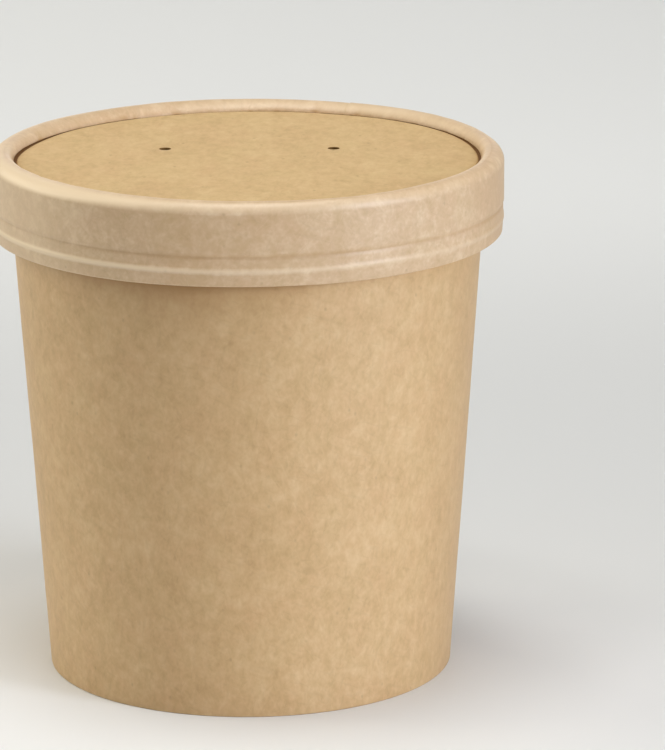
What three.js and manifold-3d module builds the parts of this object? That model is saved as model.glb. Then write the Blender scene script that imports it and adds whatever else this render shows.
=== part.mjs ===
// A shut paper noodle tub: a tapered kraft paper cup under a vented paper lid.
// Millimetres, +Z up. The origin is on the table under the middle of the foot.
// Angles run anticlockwise seen from above, and 0 is the front (-Y).

import * as THREE from "three";
import { mergeVertices } from "three/addons/utils/BufferGeometryUtils.js";
import Module from "manifold-3d";

// ---- Driving dimensions ---------------------------------------------------

const TOTAL_HEIGHT = 105.3; // table to the crest of the lid's bead
const LID_RADIUS = 51; // outside of the lid's band
const FOOT_RADIUS = 40.6; // outside of the cup at the table
const NECK_RADIUS = 47.4; // outside of the cup wall where its brim roll starts
const FIT_GAP = 0.3; // clearance between two separate pieces
const COLUMNS = 84; // flat facets round every turned piece

// Cup
const BRIM_TOP = 102.1;
const BRIM_ROLL_RADIUS = 1.4;
const BRIM_RADIUS = 49.9; // outside of the brim roll, inside the lid's band
const FOOT_RING_WIDTH = 2;
const FOOT_EDGE_RADIUS = 0.3;
const FOOT_HEM_HEIGHT = 6.3; // the wall's turned-in hem, which carries the base
const BASE_SEAT_WIDTH = 0.7; // how far the base reaches over the hem
const BASE_THICKNESS = 0.6;

// Lid disc
const DISC_DEPTH = 2.2; // from the bead's crest down to the face of the disc
const DISC_THICKNESS = 0.6;
const DISC_RADIUS = 48.2; // outside of the upturned flange, hidden in the bead
const FLANGE_THICKNESS = 0.7;
const FLANGE_HEIGHT = 0.7; // above the face of the disc
const VENT_RADIUS = 1.2;
const VENT_SPACING = 33.7; // between the middles of the two vents
const VENT_OFFSET = 8.4; // of both vents towards the back
const VENT_WELL_DEPTH = 7; // into the contents under each vent

// Lid band, measured down from the crest or in from LID_RADIUS
const BAND_THICKNESS = 0.7;
const BAND_HEIGHT = 16.4; // crest to the lower edge
const BEAD_OUTER_RUN = 2.3; // crest in from the outside
const BEAD_INNER_RUN = 2.4; // crest to the inner wall round the disc
const BEAD_DROP = 2.4; // height of the round over both sides
const GROOVE_DEPTH = 0.45;
const GROOVE_HALF_WIDTH = 0.6;
const GROOVE_DROP = 10.5; // crest to the groove
const CHANNEL_DEPTH = 0.28; // flat band between the groove and the ridge
const RIDGE_DROP = 13.3;
const RIDGE_HALF_WIDTH = 0.35;
const HEM_THICKNESS = 1.3; // the lower edge is folded double
const HEM_EDGE_RADIUS = 0.4;
const HEM_TURN_IN = 0.3; // the lower edge leans in by this much
const HEM_HEIGHT = 6.6;

// Lapped joints, where each paper strip meets itself at the back
const LAP_STEP = 0.3;
const LAP_FADE = 5; // columns over which the lower layer comes level again
const CUP_LAP_COLUMN = 42; // straight behind
const BAND_LAP_COLUMN = 36;
const LAP_EDGE_ANGLE = THREE.MathUtils.degToRad(0.25);

const KRAFT_WALL = { color: 0xbe9d74, roughness: 0.85, metalness: 0 };
const KRAFT_BAND = { color: 0xd3b18d, roughness: 0.72, metalness: 0 };
const KRAFT_DISC = { color: 0xd4b488, roughness: 0.85, metalness: 0 };

// ---- Outlines -------------------------------------------------------------

/** A point of an outline: distance from the axis, height above the table. */
const at = (radius, height) => new THREE.Vector2(radius, height);

/** Points on a quarter or half ellipse, from one angle to another in degrees. */
function arc(centre, radiusX, radiusY, from, to, steps) {
  return Array.from({ length: steps + 1 }, (_, step) => {
    const angle = THREE.MathUtils.degToRad(from + ((to - from) * step) / steps);
    return at(centre.x + radiusX * Math.cos(angle), centre.y + radiusY * Math.sin(angle));
  });
}

/** The cup from the middle of its underside, round the foot and up to the brim. */
function cupOutline(tuck) {
  const footInner = FOOT_RADIUS - FOOT_RING_WIDTH;
  const seat = footInner + BASE_SEAT_WIDTH;
  const ceiling = FOOT_HEM_HEIGHT + BASE_THICKNESS + 2 * FIT_GAP;
  const roll = at(BRIM_RADIUS - BRIM_ROLL_RADIUS, BRIM_TOP - BRIM_ROLL_RADIUS);
  const rollRadius = BRIM_ROLL_RADIUS - tuck;
  const foot = at(FOOT_RADIUS - tuck - FOOT_EDGE_RADIUS, FOOT_EDGE_RADIUS);
  return [
    at(0, ceiling),
    at(seat, ceiling),
    at(seat, FOOT_HEM_HEIGHT),
    at(footInner, FOOT_HEM_HEIGHT),
    at(footInner, FOOT_EDGE_RADIUS),
    at(footInner + FOOT_EDGE_RADIUS, 0),
    ...arc(foot, FOOT_EDGE_RADIUS, FOOT_EDGE_RADIUS, -90, 0, 2),
    at(NECK_RADIUS - tuck, roll.y - BRIM_ROLL_RADIUS),
    ...arc(roll, rollRadius, rollRadius, -60, 90, 6),
    at(0, BRIM_TOP),
  ];
}

/** The base: a plain disc lying over the foot's hem. */
function baseOutline() {
  const radius = FOOT_RADIUS - FOOT_RING_WIDTH + BASE_SEAT_WIDTH - FIT_GAP;
  const underside = FOOT_HEM_HEIGHT + FIT_GAP;
  return [
    at(0, underside),
    at(radius, underside),
    at(radius, underside + BASE_THICKNESS),
    at(0, underside + BASE_THICKNESS),
  ];
}

/** The lid's disc with the flange that the bead grips. */
function discOutline() {
  const face = TOTAL_HEIGHT - DISC_DEPTH;
  const underside = face - DISC_THICKNESS;
  const flangeInner = DISC_RADIUS - FLANGE_THICKNESS;
  return [
    at(0, underside),
    at(DISC_RADIUS - FLANGE_THICKNESS / 2, underside),
    at(DISC_RADIUS, underside + FLANGE_THICKNESS / 2),
    at(DISC_RADIUS, face + FLANGE_HEIGHT),
    at(flangeInner, face + FLANGE_HEIGHT),
    at(flangeInner, face),
    at(0, face),
  ];
}

/** The lid's band: up the outside, over the bead, and back down inside. */
function bandOutline(tuck) {
  const outside = LID_RADIUS - tuck;
  const inside = LID_RADIUS - BAND_THICKNESS;
  const bottom = TOTAL_HEIGHT - BAND_HEIGHT;
  const hemInside = LID_RADIUS - HEM_THICKNESS;
  const hemTop = bottom + HEM_HEIGHT;
  const ridge = TOTAL_HEIGHT - RIDGE_DROP;
  const groove = TOTAL_HEIGHT - GROOVE_DROP;
  const channel = outside - CHANNEL_DEPTH;
  const crest = at(LID_RADIUS - BEAD_OUTER_RUN, TOTAL_HEIGHT - BEAD_DROP);
  const edge = at(outside - HEM_TURN_IN - HEM_EDGE_RADIUS, bottom + HEM_EDGE_RADIUS);
  const lipBottom = TOTAL_HEIGHT - DISC_DEPTH + FIT_GAP;
  const outline = [
    at(hemInside, bottom + HEM_EDGE_RADIUS),
    ...arc(edge, HEM_EDGE_RADIUS, HEM_EDGE_RADIUS, -90, 0, 2),
    at(outside - HEM_TURN_IN / 2, ridge - 2 * RIDGE_HALF_WIDTH),
    at(outside, ridge - RIDGE_HALF_WIDTH / 2),
    at(outside, ridge + RIDGE_HALF_WIDTH / 2),
    at(channel, ridge + 2 * RIDGE_HALF_WIDTH),
    at(channel, groove - GROOVE_HALF_WIDTH),
    at(outside - GROOVE_DEPTH, groove),
    at(outside, groove + GROOVE_HALF_WIDTH),
    ...arc(crest, BEAD_OUTER_RUN - tuck, BEAD_DROP - tuck, 0, 90, 5),
    ...arc(crest, BEAD_INNER_RUN, BEAD_DROP - tuck, 90, 168, 5).slice(1),
    at(crest.x - BEAD_INNER_RUN + BAND_THICKNESS, lipBottom),
    ...arc(crest, BEAD_INNER_RUN - BAND_THICKNESS, BEAD_DROP - BAND_THICKNESS, 160, 90, 3),
    ...arc(crest, BEAD_OUTER_RUN - BAND_THICKNESS, BEAD_DROP - BAND_THICKNESS, 90, 0, 3).slice(1),
    at(inside, hemTop + BAND_THICKNESS),
    at(hemInside, hemTop),
  ];
  return [...outline, outline[0]];
}

// ---- Solids ---------------------------------------------------------------

/** How far the paper is tucked under the lap at a column: 1 at the cut edge, 0 clear of it. */
function tuckAt(column, lapColumn) {
  const past = column - lapColumn - 1;
  if (past < 0 || past >= LAP_FADE) return 0;
  return 1 - THREE.MathUtils.smoothstep(past, 0, LAP_FADE);
}

/** The angle of a column, with two of them close together at the lap's cut edge. */
function columnAngle(column, lapColumn) {
  const step = (2 * Math.PI) / COLUMNS;
  if (column > lapColumn) return (column - 1) * step + (column === lapColumn + 1 ? LAP_EDGE_ANGLE : 0);
  return column * step - (column === lapColumn ? LAP_EDGE_ANGLE : 0);
}

/** Turns an outline round the axis as a plain body, +Z up. */
function turned(outline) {
  return new THREE.LatheGeometry(outline, COLUMNS).rotateX(Math.PI / 2);
}

/** Turns an outline as paper lapped over itself: it follows tucked just past the lap. */
function lapped(outline, tucked, lapColumn) {
  const geometry = new THREE.LatheGeometry(outline, COLUMNS + 1);
  const positions = geometry.getAttribute("position");
  for (let vertex = 0; vertex < positions.count; vertex += 1) {
    const column = Math.floor(vertex / outline.length);
    const row = vertex % outline.length;
    const point = outline[row].clone().lerp(tucked[row], tuckAt(column, lapColumn));
    const angle = columnAngle(column, lapColumn);
    positions.setXYZ(vertex, point.x * Math.sin(angle), point.y, point.x * Math.cos(angle));
  }
  return geometry.rotateX(Math.PI / 2);
}

const wasm = await Module();
wasm.setup();

/** A three.js geometry with only its corners, as a solid that can be cut. */
function toSolid(geometry) {
  geometry.deleteAttribute("normal");
  geometry.deleteAttribute("uv");
  const merged = mergeVertices(geometry, 1e-4);
  const corners = merged.index.array;
  const triangles = [];
  for (let i = 0; i < corners.length; i += 3) {
    const [a, b, c] = corners.slice(i, i + 3);
    if (a !== b && b !== c && c !== a) triangles.push(a, b, c);
  }
  return new wasm.Manifold(
    new wasm.Mesh({
      numProp: 3,
      vertProperties: merged.getAttribute("position").array,
      triVerts: new Uint32Array(triangles),
    }),
  );
}

/** A cut solid as a three.js geometry again. */
function toGeometry(solid) {
  const mesh = solid.getMesh();
  const geometry = new THREE.BufferGeometry();
  geometry.setAttribute("position", new THREE.BufferAttribute(mesh.vertProperties, 3));
  geometry.setIndex(new THREE.BufferAttribute(mesh.triVerts, 1));
  geometry.computeVertexNormals();
  return geometry;
}

/** Both vents as upright pins between two heights, for cutting. */
function ventPins(low, high) {
  return [-1, 1].map((side) => {
    const pin = new THREE.CylinderGeometry(VENT_RADIUS, VENT_RADIUS, high - low, 14);
    pin.rotateX(Math.PI / 2);
    pin.translate((side * VENT_SPACING) / 2, VENT_OFFSET, (low + high) / 2);
    return toSolid(pin);
  });
}

/** A geometry with both vents cut through it between two heights. */
function vented(geometry, low, high) {
  const cut = ventPins(low, high).reduce((solid, pin) => solid.subtract(pin), toSolid(geometry));
  return toGeometry(cut);
}

/** A named piece with its own paper. */
function piece(name, geometry, paper) {
  const mesh = new THREE.Mesh(geometry, new THREE.MeshStandardMaterial(paper));
  mesh.name = name;
  return mesh;
}

// ---- The tub --------------------------------------------------------------

const cup = lapped(cupOutline(0), cupOutline(LAP_STEP), CUP_LAP_COLUMN);
const band = lapped(bandOutline(0), bandOutline(LAP_STEP), BAND_LAP_COLUMN);

const noodleTub = new THREE.Group();
noodleTub.add(
  piece("cup_body", vented(cup, BRIM_TOP - VENT_WELL_DEPTH, TOTAL_HEIGHT), KRAFT_WALL),
  piece("cup_base", turned(baseOutline()), KRAFT_WALL),
  piece("lid_band", band, KRAFT_BAND),
  piece("lid_disc", vented(turned(discOutline()), BRIM_TOP, TOTAL_HEIGHT), KRAFT_DISC),
);

export default noodleTub;
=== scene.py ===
"""A shut round noodle box of kraft paper: cup, base, lid band and vented lid disc.

Each piece is one sheet of board, turned about the box's own axis from a drawn section and then
worked over: lapped at its seam, creased where it was rolled, and left a little uneven. Lengths are
metres, +Z is up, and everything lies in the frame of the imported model. Angles run anticlockwise
seen from above, and 0 is the front (-Y).
"""

from __future__ import annotations

import logging
import math
import random
from collections.abc import Callable, Iterable
from dataclasses import dataclass, field
from enum import Enum
from typing import Any

import bmesh
import bpy
from mathutils import Matrix, Vector, noise


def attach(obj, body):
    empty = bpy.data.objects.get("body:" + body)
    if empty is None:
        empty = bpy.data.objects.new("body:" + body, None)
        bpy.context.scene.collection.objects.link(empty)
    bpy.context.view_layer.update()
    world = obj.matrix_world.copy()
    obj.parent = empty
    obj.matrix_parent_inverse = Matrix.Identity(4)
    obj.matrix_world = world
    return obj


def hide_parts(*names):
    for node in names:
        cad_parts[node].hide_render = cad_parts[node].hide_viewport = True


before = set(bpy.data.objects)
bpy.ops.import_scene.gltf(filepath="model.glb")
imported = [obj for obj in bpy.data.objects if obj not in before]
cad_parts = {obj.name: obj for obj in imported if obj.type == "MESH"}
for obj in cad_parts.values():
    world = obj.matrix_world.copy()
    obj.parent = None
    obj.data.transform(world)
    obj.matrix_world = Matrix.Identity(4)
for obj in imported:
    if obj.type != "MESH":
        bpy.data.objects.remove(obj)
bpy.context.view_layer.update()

MM = 0.001
FULL_TURN = 2 * math.pi
LOG = logging.getLogger("noodle_box")

DepthAt = Callable[[float, float], float]
Shade = tuple[float, float, float]


class Node(Enum):
    """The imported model's nodes that a piece of paper stands for."""

    CUP = "cup_body"
    BASE = "cup_base"
    BAND = "lid_band"
    DISC = "lid_disc"


class Stock(Enum):
    """The record's material slots."""

    CUP = "cup_kraft"
    BASE = "base_kraft"
    BAND = "band_paper"
    DISC = "disc_kraft"


class Socket(Enum):
    """The kinds of socket that the shader groups use."""

    NUMBER = "NodeSocketFloat"
    VECTOR = "NodeSocketVector"
    COLOUR = "NodeSocketColor"


# ---- Sections and turned sheets -------------------------------------------


@dataclass(frozen=True)
class Spot:
    """One point of a section.

    Attributes:
        radius: distance from the axis.
        height: height above the table.
        skin: how far the paper's free outer skin reaches here, from 0 to 1.
        rub_and_painted_light: how much a roll or ridge is rubbed pale and given a painted highlight, or
            below 0, how deep the painted shade in a crease or under an edge is.
    """

    radius: float
    height: float
    skin: float = 0.0
    rub_and_painted_light: float = 0.0


@dataclass
class Section:
    """The section of a turned sheet, drawn like a pen stroke from spot to spot."""

    spots: list[Spot] = field(default_factory=list)

    def start(self, radius: float, height: float, skin: float = 0.0) -> Section:
        """Puts the pen down.

        Args:
            radius: distance from the axis.
            height: height above the table.
            skin: how far the outer skin reaches there.

        Returns:
            The section itself, for the next stroke.
        """
        self.spots = [Spot(radius, height, skin)]
        return self

    def line(
        self, radius: float, height: float, steps: int = 1, skin: float = 0.0, rub_and_painted_light: float = 0.0
    ) -> Section:
        """Draws a straight stroke.

        Args:
            radius: distance of its end from the axis.
            height: height of its end.
            steps: how many pieces it is cut into.
            skin: the outer skin along it.
            rub_and_painted_light: the rubbing and painted highlight, or below 0 the painted shade, at
                its end.

        Returns:
            The section itself.
        """
        last = self.spots[-1]
        for step in range(1, steps + 1):
            share = step / steps
            self.spots.append(
                Spot(
                    last.radius + (radius - last.radius) * share,
                    last.height + (height - last.height) * share,
                    skin,
                    last.rub_and_painted_light + (rub_and_painted_light - last.rub_and_painted_light) * share,
                )
            )
        return self

    def arc(
        self,
        centre: tuple[float, float],
        radii: tuple[float, float],
        start: float,
        end: float,
        steps: int,
        skin: float = 0.0,
        rub_and_painted_light: float = 0.0,
        fade: float = 0.0,
    ) -> Section:
        """Draws part of an ellipse.

        Args:
            centre: the ellipse's centre, as radius and height.
            radii: its half width and half height.
            start: the first angle, in degrees from straight outwards.
            end: the last angle.
            steps: how many pieces it is cut into.
            skin: the outer skin along it.
            rub_and_painted_light: the rubbing and painted highlight at the middle of the stroke.
            fade: the rubbing and painted highlight, or below 0 the painted shade, that it grows to at
                its end.

        Returns:
            The section itself.
        """
        for step in range(steps + 1):
            share = step / steps
            angle = math.radians(start + (end - start) * share)
            spot = Spot(
                centre[0] + radii[0] * math.cos(angle),
                centre[1] + radii[1] * math.sin(angle),
                skin,
                rub_and_painted_light * math.sin(math.pi * share) + fade * share * share,
            )
            last = self.spots[-1]
            if math.hypot(spot.radius - last.radius, spot.height - last.height) > 0.01 * MM:
                self.spots.append(spot)
        return self


@dataclass
class Lap:
    """Where a strip of board meets itself: the under layer dips by one thickness and fades out.

    Attributes:
        angle: where the upper layer's cut edge is.
        step: how far the under layer lies below it.
        fade: the angle over which the two come level again.
        edge: half the angle that the cut edge takes.
    """

    angle: float
    step: float
    fade: float = math.radians(24)
    edge: float = math.radians(0.09)

    def depth(self, angle: float) -> float:
        """How far the skin lies below its round shape.

        Args:
            angle: the angle round the axis.

        Returns:
            The depth, in metres.
        """
        past = (angle - self.angle) % FULL_TURN
        if past >= self.fade:
            return 0.0
        share = past / self.fade
        return self.step * (1 - share * share * (3 - 2 * share))


def angle_of(place: Vector) -> float:
    """The angle of a place round the axis, from the front.

    Args:
        place: any point.

    Returns:
        The angle from 0 to a full turn.
    """
    return math.atan2(place.x, -place.y) % FULL_TURN


def direction_at(angle: float) -> Vector:
    """The level unit vector that points outwards at an angle."""
    return Vector((math.sin(angle), -math.cos(angle), 0.0))


@dataclass(frozen=True)
class Give:
    """Smooth unevenness of a sheet, without a break at the full turn.

    Attributes:
        depth: how far it sinks the sheet at most.
        wave: the usual length of its waves.
        seed: which pattern to take.
    """

    depth: float
    wave: float
    seed: float

    def at(self, angle: float, run: float, radius: float) -> float:
        """How far the sheet is sunk at a place.

        Args:
            angle: the angle round the axis.
            run: the length along the section.
            radius: the sheet's usual radius.

        Returns:
            From 0, proud, to the full depth.
        """
        around = direction_at(angle) * (radius / self.wave)
        value = noise.noise(Vector((around.x, around.y, run / self.wave + self.seed)))
        return self.depth * min(1.0, max(0.0, 0.5 + value))


class TurnedSheet:
    """A section spun round the axis, in which every point knows its place on the sheet."""

    def __init__(self, section: Section, columns: int) -> None:
        """Spins the section.

        Args:
            section: the outline, which closes on itself or starts and ends on the axis.
            columns: how many steps the full turn takes.
        """
        self.bm = bmesh.new()
        floats = self.bm.verts.layers.float
        self.run, self.skin, self.rub_and_painted_light = floats.new("run"), floats.new("skin"), floats.new("rub_and_painted_light")
        self.out_r, self.out_z = floats.new("out_r"), floats.new("out_z")
        self._stroke(section.spots)
        bmesh.ops.spin(
            self.bm,
            geom=self.bm.verts[:] + self.bm.edges[:],
            cent=(0, 0, 0),
            axis=(0, 0, 1),
            angle=FULL_TURN,
            steps=columns,
            use_merge=True,
            use_normal_flip=False,
            use_duplicate=False,
        )
        bmesh.ops.remove_doubles(self.bm, verts=self.bm.verts[:], dist=0.002 * MM)
        bmesh.ops.recalc_face_normals(self.bm, faces=self.bm.faces[:])

    def _stroke(self, spots: list[Spot]) -> None:
        """Lays the section down as a chain of edges at the front.

        Args:
            spots: the section's points in order.
        """
        closed = spots[0].radius > 0
        chain = []
        run = 0.0
        for index, spot in enumerate(spots):
            last = spots[index - 1]
            before = last if index or closed else spot
            after = spots[(index + 1) % len(spots)] if index + 1 < len(spots) or closed else spot
            along = Vector((after.radius - before.radius, after.height - before.height)).normalized()
            if index:
                run += math.hypot(spot.radius - last.radius, spot.height - last.height)
            vert = self.bm.verts.new((0, -spot.radius, spot.height))
            vert[self.run], vert[self.skin], vert[self.rub_and_painted_light] = run, spot.skin, spot.rub_and_painted_light
            vert[self.out_r], vert[self.out_z] = along.y, -along.x
            chain.append(vert)
        for vert, following in zip(chain, chain[1:]):
            self.bm.edges.new((vert, following))
        if closed:
            self.bm.edges.new((chain[-1], chain[0]))

    def cut_lap(self, lap: Lap) -> None:
        """Cuts the skin on both sides of a lap's edge, so that the step is crisp.

        Args:
            lap: the lapped joint.
        """
        for side in (-1, 1):
            angle = lap.angle + side * lap.edge
            ahead = direction_at(angle)
            faces = [face for face in self.bm.faces if face.calc_center_median().dot(ahead) > 0]
            edges = {edge for face in faces for edge in face.edges}
            verts = {vert for face in faces for vert in face.verts}
            bmesh.ops.bisect_plane(
                self.bm,
                geom=[*verts, *edges, *faces],
                dist=0.001 * MM,
                plane_co=(0, 0, 0),
                plane_no=direction_at(angle + math.pi / 2),
            )

    def outward(self, vert: bmesh.types.BMVert) -> Vector:
        """The section's own outward normal at a point of the sheet."""
        return direction_at(angle_of(vert.co)) * vert[self.out_r] + Vector((0, 0, vert[self.out_z]))

    def press(self, depth_at: DepthAt) -> None:
        """Sinks the outer skin along its own normal.

        Args:
            depth_at: gives the depth for an angle and a run along the section.
        """
        for vert in self.bm.verts:
            if vert[self.skin] > 0:
                depth = vert[self.skin] * depth_at(angle_of(vert.co), vert[self.run])
                vert.co -= depth * self.outward(vert)

    def lay_grain(self, radius: float, seam: float) -> None:
        """Unrolls the sheet into its UV map, in metres: across is round the box, up along the section.

        Args:
            radius: the radius at which a turn has its true length.
            seam: the angle at which the sheet was cut open.
        """
        grain = self.bm.loops.layers.uv.new("grain")
        for face in self.bm.faces:
            middle = (angle_of(face.calc_center_median()) - seam) % FULL_TURN
            for loop in face.loops:
                place = loop.vert.co
                past = (angle_of(place) - seam) % FULL_TURN if place.xy.length > 0.01 * MM else middle
                past += FULL_TURN * round((middle - past) / FULL_TURN)
                loop[grain].uv = (past * radius, loop.vert[self.run])

    def lay_flat_grain(self) -> None:
        """Lays the UV map straight down on a level sheet, in metres."""
        grain = self.bm.loops.layers.uv.new("grain")
        for face in self.bm.faces:
            for loop in face.loops:
                loop[grain].uv = loop.vert.co.xy

    def finish(self, name: str, crisp: float = math.radians(42)) -> bpy.types.Object:
        """Turns the sheet into a smooth-shaded object.

        Args:
            name: the object's name.
            crisp: the fold angle above which an edge stays sharp.

        Returns:
            The new object, at the origin.
        """
        mesh = bpy.data.meshes.new(name)
        self.bm.to_mesh(mesh)
        self.bm.free()
        mesh.shade_smooth()
        mesh.set_sharp_from_angle(angle=crisp)
        piece = bpy.data.objects.new(name, mesh)
        bpy.context.collection.objects.link(piece)
        return piece


@dataclass(frozen=True)
class Vent:
    """A round steam hole punched in a level sheet.

    Attributes:
        place: its middle, seen from above.
        radius: its radius.
        blank: the radius of the patch of sheet that is worked round it.
        collars: how far outside its edge each ring of the sheet lies, down to the edge itself.
        shade: the shade of its cut edge.
    """

    place: Vector
    radius: float = 1.2 * MM
    blank: float = 2.4 * MM
    collars: tuple[float, ...] = (0.3 * MM, 0.03 * MM, 0.0)
    shade: float = -0.6

    def open_up(self, sheet: TurnedSheet, level: float) -> bmesh.types.BMFace:
        """Works a round hole's outline into the sheet at a level, with its cut edge in shade.

        Args:
            sheet: the sheet to punch.
            level: the height of the face that the hole is in.

        Returns:
            The face that fills the round outline.
        """
        bm = sheet.bm
        patch = [
            face
            for face in bm.faces
            if all((vert.co.xy - self.place).length < self.blank for vert in face.verts)
            and abs(face.calc_center_median().z - level) < 0.1 * MM
        ]
        blank = bmesh.ops.dissolve_faces(bm, faces=patch, use_verts=False)["region"][0]
        for collar in self.collars:
            bmesh.ops.inset_region(bm, faces=[blank], thickness=0.02 * MM, use_even_offset=True)
            for vert in blank.verts:
                away = (vert.co.xy - self.place).normalized()
                vert.co.xy = self.place + away * (self.radius + collar)
        for vert in blank.verts:
            vert[sheet.rub_and_painted_light] = self.shade
        return blank


# ---- Shader groups --------------------------------------------------------


@dataclass(frozen=True)
class Speckle:
    """A noise that is stretched so that it fills its whole range.

    Attributes:
        scale: how many waves it has in a metre.
        detail: how many finer layers it has.
        finer: how strong each finer layer is beside the one before.
        spread: how far from its middle the noise reaches 0 and 1.
    """

    scale: float
    detail: float
    finer: float
    spread: float


@dataclass(frozen=True)
class Strands:
    """Thin curved fibres that lie roughly one way.

    Attributes:
        turn: the way they lie, in degrees.
        scale: how many of them lie side by side in a metre.
        stretch: how many times longer than wide their pattern is.
        width: how much of the pattern each fibre takes.
    """

    turn: float
    scale: float
    stretch: float = 4.5
    width: float = 0.035


class ShaderGroup:
    """A shader node group with named sockets, filled in node by node."""

    def __init__(
        self, name: str, takes: dict[str, tuple[Socket, Any]], gives: dict[str, Socket]
    ) -> None:
        """Makes the empty group.

        Args:
            name: the group's name.
            takes: each input's kind and starting value.
            gives: each output's kind.
        """
        self.tree = bpy.data.node_groups.new(name, "ShaderNodeTree")
        for label, (kind, value) in takes.items():
            socket = self.tree.interface.new_socket(label, in_out="INPUT", socket_type=kind.value)
            socket.default_value = value
        for label, kind in gives.items():
            self.tree.interface.new_socket(label, in_out="OUTPUT", socket_type=kind.value)
        self.inlet = self.tree.nodes.new("NodeGroupInput")
        self.outlet = self.tree.nodes.new("NodeGroupOutput")

    def taken(self, label: str) -> bpy.types.NodeSocket:
        """The named input, as it arrives inside the group."""
        return self.inlet.outputs[label]

    def give(self, label: str, source: bpy.types.NodeSocket) -> None:
        """Sends a result out of the group.

        Args:
            label: the output's name.
            source: the socket whose value it carries.
        """
        self.tree.links.new(source, self.outlet.inputs[label])

    def node(self, kind: str, wired: dict[Any, Any], **settings: Any) -> bpy.types.Node:
        """Adds a node.

        Args:
            kind: the node's type.
            wired: a value or a source socket for each of its inputs.
            settings: the node's own options.

        Returns:
            The new node.
        """
        return add_node(self.tree, kind, wired, **settings)

    def math(self, operation: str, *terms: Any, clamp: bool = False) -> bpy.types.NodeSocket:
        """Works out one number.

        Args:
            operation: the Math node's operation.
            terms: its numbers or source sockets.
            clamp: whether the result stays from 0 to 1.

        Returns:
            The socket that carries the result.
        """
        wired = dict(enumerate(terms))
        return self.node("ShaderNodeMath", wired, operation=operation, use_clamp=clamp).outputs[0]

    def ramp(self, value: Any, low: float, high: float) -> bpy.types.NodeSocket:
        """Stretches a value so that it runs from 0 to 1 between two ends.

        Args:
            value: the socket of the value.
            low: the value that gives 0.
            high: the value that gives 1.

        Returns:
            The socket that carries it, clamped.
        """
        ends = {"Value": value, "From Min": low, "From Max": high}
        return self.node("ShaderNodeMapRange", ends, clamp=True).outputs[0]

    def speckle(self, place: Any, speckle: Speckle) -> bpy.types.NodeSocket:
        """Adds a speckle.

        Args:
            place: the socket of the coordinates.
            speckle: its settings.

        Returns:
            The socket that carries it, from 0 to 1.
        """
        layers = {"Detail": speckle.detail, "Roughness": speckle.finer}
        wired = {"Vector": place, "Scale": speckle.scale, **layers}
        wave = self.node("ShaderNodeTexNoise", wired).outputs[0]
        return self.ramp(wave, 0.5 - speckle.spread, 0.5 + speckle.spread)

    def stronger(self, *masks: Any) -> bpy.types.NodeSocket:
        """The stronger of two masks."""
        return self.math("MAXIMUM", *masks)


def add_node(
    tree: bpy.types.NodeTree, kind: str, wired: dict[Any, Any], **settings: Any
) -> bpy.types.Node:
    """Adds a node to a tree and wires it.

    Args:
        tree: the material's tree or the group.
        kind: the node's type.
        wired: a value or a source socket for each input, by name or place.
        settings: the node's own options.

    Returns:
        The new node.
    """
    node = tree.nodes.new(kind)
    for option, value in settings.items():
        setattr(node, option, value)
    for label, value in wired.items():
        if isinstance(value, bpy.types.NodeSocket):
            tree.links.new(value, node.inputs[label])
        else:
            node.inputs[label].default_value = value
    return node


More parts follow.
